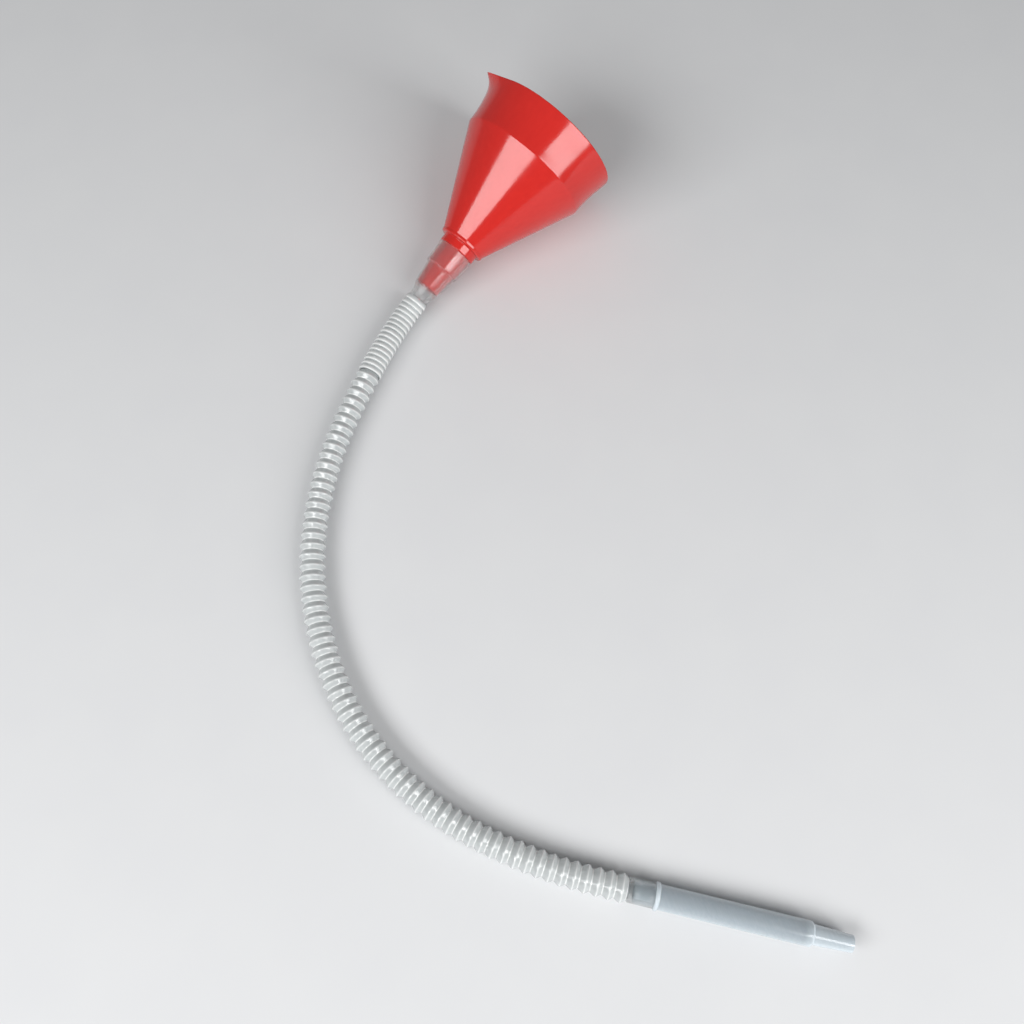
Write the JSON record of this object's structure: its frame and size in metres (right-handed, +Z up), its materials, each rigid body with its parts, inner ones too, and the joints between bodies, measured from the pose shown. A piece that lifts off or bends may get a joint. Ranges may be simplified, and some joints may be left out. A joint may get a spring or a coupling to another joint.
{
  "type": "funnel",
  "caption": "Funnel with a lipped bowl, removable strainer, and a long pull-out bellows spout that ends in a smooth stepped nozzle.",
  "frame": {"origin": "on the surface that the funnel lies on, under the middle of the bowl, strainer and spout socket", "axes": "+X horizontally along the bowl's axis, towards its mouth; +Z up"},
  "size_m": [0.5202, 0.6577, 0.1319],
  "materials": {
    "red_plastic": "glossy injection-moulded polypropylene",
    "strainer_plastic": "satin moulded plastic",
    "gauze_wire": "fine woven wire",
    "natural_pe": "natural blow-moulded polyethylene, milky",
    "nozzle_pe": "natural polyethylene tube, clearer than the bellows"
  },
  "bodies": {
    "spout": {"stretch_bellows": "natural_pe", "hose_upper": "natural_pe", "hose_bend": "natural_pe"},
    "spout_middle": {"middle_bellows": "natural_pe"},
    "spout_neck": {"neck_bellows": "natural_pe", "spout_socket": "natural_pe"},
    "bowl": {"funnel_bowl": "red_plastic"},
    "strainer": {"strainer_ring": "strainer_plastic", "strainer_gauze": "gauze_wire"},
    "spout_end": {"hose_lower": "natural_pe", "end_cuff": "natural_pe"},
    "nozzle": {"nozzle": "nozzle_pe"}
  },
  "joints": [
    {"name": "bellows_stretch", "type": "slide", "parent": "spout", "child": "spout_middle", "axis": [0.9689, 0.2474, 0], "range_m": [0, 0.031], "deforming": ["stretch_bellows"]},
    {"name": "neck_bend", "type": "hinge", "parent": "spout_middle", "child": "spout_neck", "pos_m": [-0.11484, 0, 0.0106], "axis": [0, -1, 0], "range_deg": [0, 40], "deforming": ["neck_bellows"]},
    {"name": "bowl_pull", "type": "slide", "parent": "spout_neck", "child": "bowl", "axis": [0.9589, 0, 0.2838], "range_m": [0, 0.05]},
    {"name": "strainer_lift", "type": "slide", "parent": "bowl", "child": "strainer", "axis": [0.9589, 0, 0.2838], "range_m": [0, 0.14]},
    {"name": "hose_turn", "type": "hinge", "parent": "spout", "child": "spout_end", "pos_m": [-0.3575, -0.1284, 0.0106], "axis": [0, 0, 1], "range_deg": [-45, 45], "deforming": ["hose_bend"]},
    {"name": "nozzle_pull", "type": "slide", "parent": "spout_end", "child": "nozzle", "axis": [0.4663, -0.8846, 0], "range_m": [0, 0.03]}
  ]
}
